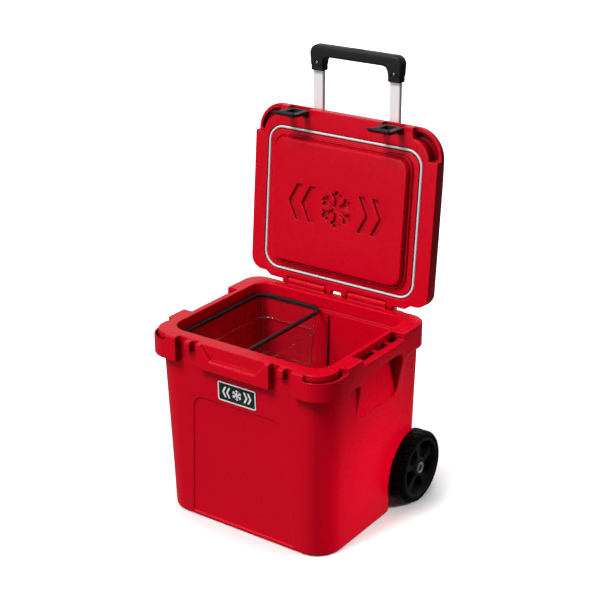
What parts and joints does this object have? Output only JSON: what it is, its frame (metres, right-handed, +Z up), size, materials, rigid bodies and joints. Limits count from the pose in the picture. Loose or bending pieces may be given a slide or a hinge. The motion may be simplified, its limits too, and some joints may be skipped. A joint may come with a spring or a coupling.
{
  "type": "wheeled_cooler",
  "caption": "Red wheeled hard cooler with its lid open, a telescoping pull handle, rubber latches, a lift-out clear bin and side hand holds",
  "frame": {"origin": "middle of the flat underside of the body, on the floor", "axes": "X across the width to the right as seen from the front, -Y to the front (latch side), +Z up"},
  "size_m": [0.49, 0.47, 0.9715],
  "materials": {
    "shell_red": "rotomoulded polyethylene, satin with a very fine grain",
    "foam_cream": "closed-cell polyurethane foam, hidden",
    "rubber_black": "matt black rubber",
    "plastic_black": "fine-textured black nylon",
    "gasket_grey": "smooth light grey silicone",
    "badge_ink": null,
    "steel": "stainless steel, fine brushed",
    "alloy": "satin anodised tube",
    "tyre_black": "solid black tyre",
    "cap_silver": "bright cap ring with a dark middle",
    "bin_clear": "clear moulded plastic"
  },
  "bodies": {
    "body": {"body_shell": "shell_red", "body_insulation": "foam_cream", "foam_port_plug": "plastic_black", "badge_plate": "badge_ink", "drain_seal": "gasket_grey", "foot_pad_left": "rubber_black", "foot_pad_right": "rubber_black", "hinge_rod_left": "steel", "hinge_rod_right": "steel", "axle": "steel", "axle_washer_left": "steel", "axle_washer_right": "steel", "bracket_top": "plastic_black", "bracket_bottom": "plastic_black", "outer_tube_left": "alloy", "outer_tube_right": "alloy"},
    "drain": {"drain_plug": "plastic_black"},
    "lid": {"lid_shell": "shell_red", "lid_insulation": "foam_cream", "lid_port_plug": "shell_red", "lid_gasket": "gasket_grey", "latch_pin_left": "steel", "latch_pin_right": "steel"},
    "latch_left": {"latch_left": "rubber_black"},
    "latch_right": {"latch_right": "rubber_black"},
    "wheel_left": {"tyre_left": "tyre_black", "wheel_rim_left": "plastic_black", "axle_cap_left": "cap_silver"},
    "wheel_right": {"tyre_right": "tyre_black", "wheel_rim_right": "plastic_black", "axle_cap_right": "cap_silver"},
    "handle_middle": {"middle_tube_left": "alloy", "middle_tube_right": "alloy", "tube_collar_left": "plastic_black", "tube_collar_right": "plastic_black"},
    "handle_inner": {"inner_post_left": "alloy", "inner_post_right": "alloy", "grip_body": "plastic_black", "grip_screw_left": "steel", "grip_screw_right": "steel"},
    "button": {"lock_button": "plastic_black"},
    "bin": {"bin_tray": "bin_clear", "bin_rim": "rubber_black"}
  },
  "joints": [
    {"name": "lid_hinge", "type": "hinge", "parent": "body", "child": "lid", "pos_m": [0, 0.178, 0.439], "axis": [-1, 0, 0], "range_deg": [-94.41, 0]},
    {"name": "latch_left_hinge", "type": "hinge", "parent": "lid", "child": "latch_left", "pos_m": [-0.12, 0.20449, 0.82801], "axis": [-1, 0, 0], "range_deg": [0, 90]},
    {"name": "latch_right_hinge", "type": "hinge", "parent": "lid", "child": "latch_right", "pos_m": [0.12, 0.20449, 0.82801], "axis": [-1, 0, 0], "range_deg": [0, 90]},
    {"name": "handle_lower_slide", "type": "slide", "parent": "body", "child": "handle_middle", "axis": [0, 0, 1], "range_m": [-0.29, 0]},
    {"name": "handle_upper_slide", "type": "slide", "parent": "handle_middle", "child": "handle_inner", "axis": [0, 0, 1], "range_m": [-0.214, 0]},
    {"name": "button_press", "type": "slide", "parent": "handle_inner", "child": "button", "axis": [0, 0, 1], "range_m": [-0.003, 0], "stiffness_N_per_m": 600, "springref_m": 0.002},
    {"name": "wheel_left_spin", "type": "hinge", "parent": "body", "child": "wheel_left", "pos_m": [-0.2224, 0.1524, 0.0828], "axis": [1, 0, 0], "continuous": true},
    {"name": "wheel_right_spin", "type": "hinge", "parent": "body", "child": "wheel_right", "pos_m": [0.2224, 0.1524, 0.0828], "axis": [1, 0, 0], "continuous": true},
    {"name": "bin_lift", "type": "slide", "parent": "body", "child": "bin", "axis": [0, 0, 1], "range_m": [0, 0.2]},
    {"name": "drain_turn", "type": "hinge", "parent": "body", "child": "drain", "pos_m": [-0.2146, -0.06, 0.074], "axis": [-1, 0, 0], "range_deg": [0, 180]}
  ]
}
